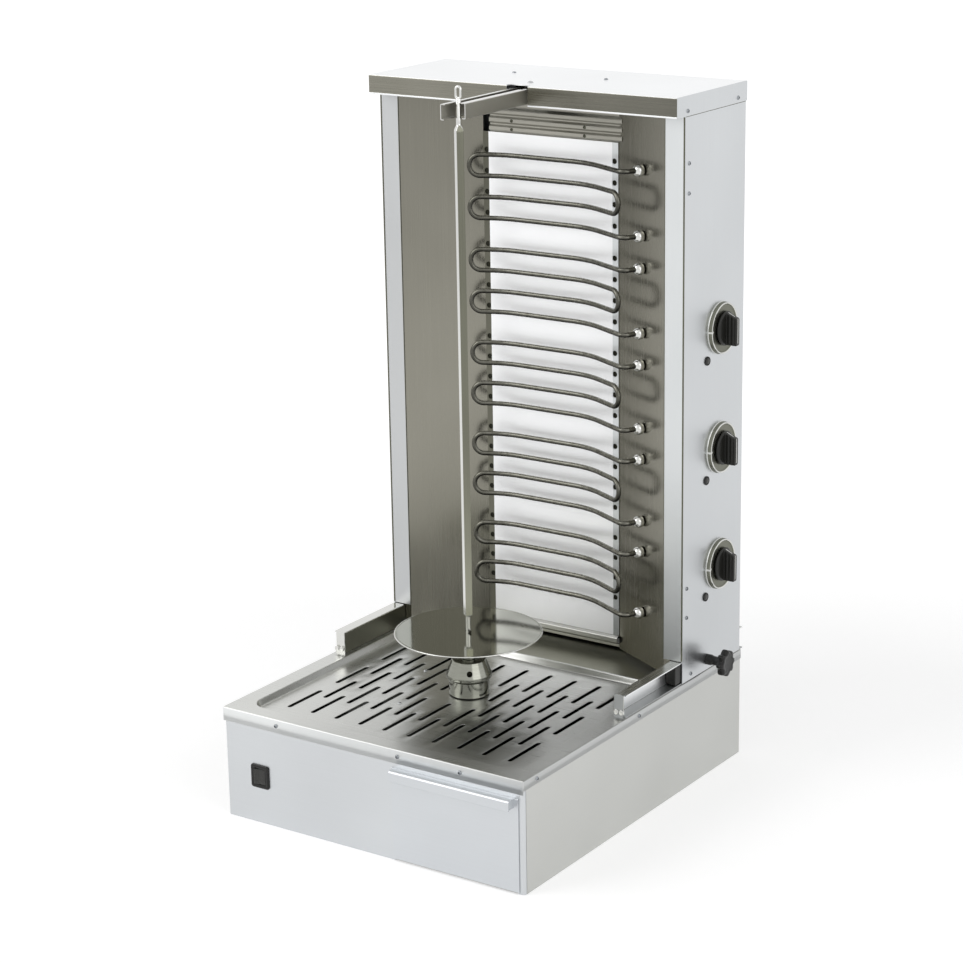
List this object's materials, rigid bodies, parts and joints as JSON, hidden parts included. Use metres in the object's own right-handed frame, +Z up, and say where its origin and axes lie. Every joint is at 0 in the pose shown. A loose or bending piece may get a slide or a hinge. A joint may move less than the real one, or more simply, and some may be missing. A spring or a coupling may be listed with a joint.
{
  "type": "electric skewer grill",
  "caption": "Tabletop electric skewer grill: steel base with slotted deck and grease drawer, sliding heater tower, turning spit with a disc, steadying arm and side regulators.",
  "frame": {"origin": "the spit's turning axis, on the flat underside of the base", "axes": "+Z up along the spit, +X to the right as the user faces the front, +Y to the back"},
  "size_m": [0.6247, 0.7018, 1.1691],
  "materials": {
    "steel_panel": "satin",
    "steel_deck": "satin",
    "steel_bright": "polished",
    "steel_liner": "satin",
    "white_back": "bright",
    "element_steel": "heat darkened",
    "zinc": "satin",
    "black_plastic": "matte",
    "gloss_black": "gloss",
    "motor_grey": "painted",
    "ceramic": "plain"
  },
  "bodies": {
    "base": {"base_shell": "steel_panel", "front_panel": "steel_panel", "bottom_plate": "zinc", "top_deck": "steel_deck", "deck_screws": "steel_bright", "drip_guide": "steel_deck", "guide_screws": "steel_bright", "drawer_runners": "zinc", "gear_motor": "motor_grey", "motor_bracket": "zinc", "rail_left": "steel_panel", "rail_right": "steel_panel", "rail_bolts": "steel_bright", "switch_frame": "gloss_black", "terminal_block": "ceramic", "cable_gland": "black_plastic"},
    "drive": {"motor_shaft": "steel_bright", "coupling_hub": "steel_bright", "hub_set_screws": "motor_grey"},
    "spit": {"meat_disc": "steel_bright", "disc_collar": "steel_bright", "spit_bar": "steel_bright", "spit_eye": "steel_bright", "stop_pin": "steel_bright"},
    "tower": {"back_panel": "zinc", "side_panel_left": "steel_panel", "side_panel_right": "steel_panel", "front_column_left": "steel_panel", "front_column_right": "steel_panel", "tower_floor": "zinc", "top_cover": "steel_panel", "cover_screws": "steel_bright", "side_screws": "steel_bright", "reflector_left": "steel_liner", "reflector_right": "steel_liner", "back_reflector": "white_back", "support_strips": "steel_panel", "header": "steel_liner", "header_screws": "steel_bright", "bottom_lip": "steel_panel", "element_1": "element_steel", "element_2": "element_steel", "element_3": "element_steel", "element_4": "element_steel", "element_5": "element_steel", "element_ferrules": "steel_bright", "regulators": "ceramic", "knob_bezels": "zinc", "pilot_lamps": "gloss_black", "slide_shoes": "black_plastic", "arm_guide": "zinc", "arm_lock_screw": "steel_bright"},
    "arm": {"spit_arm": "steel_panel"},
    "top_regulator": {"knob_top": "black_plastic"},
    "middle_regulator": {"knob_middle": "black_plastic"},
    "bottom_regulator": {"knob_bottom": "black_plastic"},
    "rocker": {"rocker_switch": "gloss_black"},
    "clamp": {"clamp_knob": "black_plastic"},
    "drawer": {"drawer_front": "steel_panel", "drawer_pan": "steel_panel"}
  },
  "joints": [
    {"name": "spit_turn", "type": "hinge", "parent": "base", "child": "drive", "pos_m": [0, 0, 0.2], "axis": [0, 0, 1], "continuous": true},
    {"name": "spit_lift", "type": "slide", "parent": "drive", "child": "spit", "axis": [0, 0, 1], "range_m": [0, 0.027]},
    {"name": "tower_slide", "type": "slide", "parent": "base", "child": "tower", "axis": [0, -1, 0], "range_m": [0, 0.1]},
    {"name": "arm_slide", "type": "slide", "parent": "tower", "child": "arm", "axis": [0, 1, 0], "range_m": [0, 0.06]},
    {"name": "top_knob_turn", "type": "hinge", "parent": "tower", "child": "top_regulator", "pos_m": [0.29, 0.309, 0.761], "axis": [1, 0, 0], "range_deg": [-270, 0]},
    {"name": "middle_knob_turn", "type": "hinge", "parent": "tower", "child": "middle_regulator", "pos_m": [0.29, 0.309, 0.562], "axis": [1, 0, 0], "range_deg": [-270, 0]},
    {"name": "bottom_knob_turn", "type": "hinge", "parent": "tower", "child": "bottom_regulator", "pos_m": [0.29, 0.309, 0.363], "axis": [1, 0, 0], "range_deg": [-270, 0]},
    {"name": "rocker_tilt", "type": "hinge", "parent": "base", "child": "rocker", "pos_m": [-0.218, -0.2785, 0.081], "axis": [0, 0, 1], "range_deg": [-14, 0]},
    {"name": "clamp_turn", "type": "hinge", "parent": "tower", "child": "clamp", "pos_m": [0.29, 0.273, 0.206], "axis": [1, 0, 0], "range_deg": [0, 360]},
    {"name": "drawer_pull", "type": "slide", "parent": "base", "child": "drawer", "axis": [0, -1, 0], "range_m": [0, 0.3]}
  ]
}
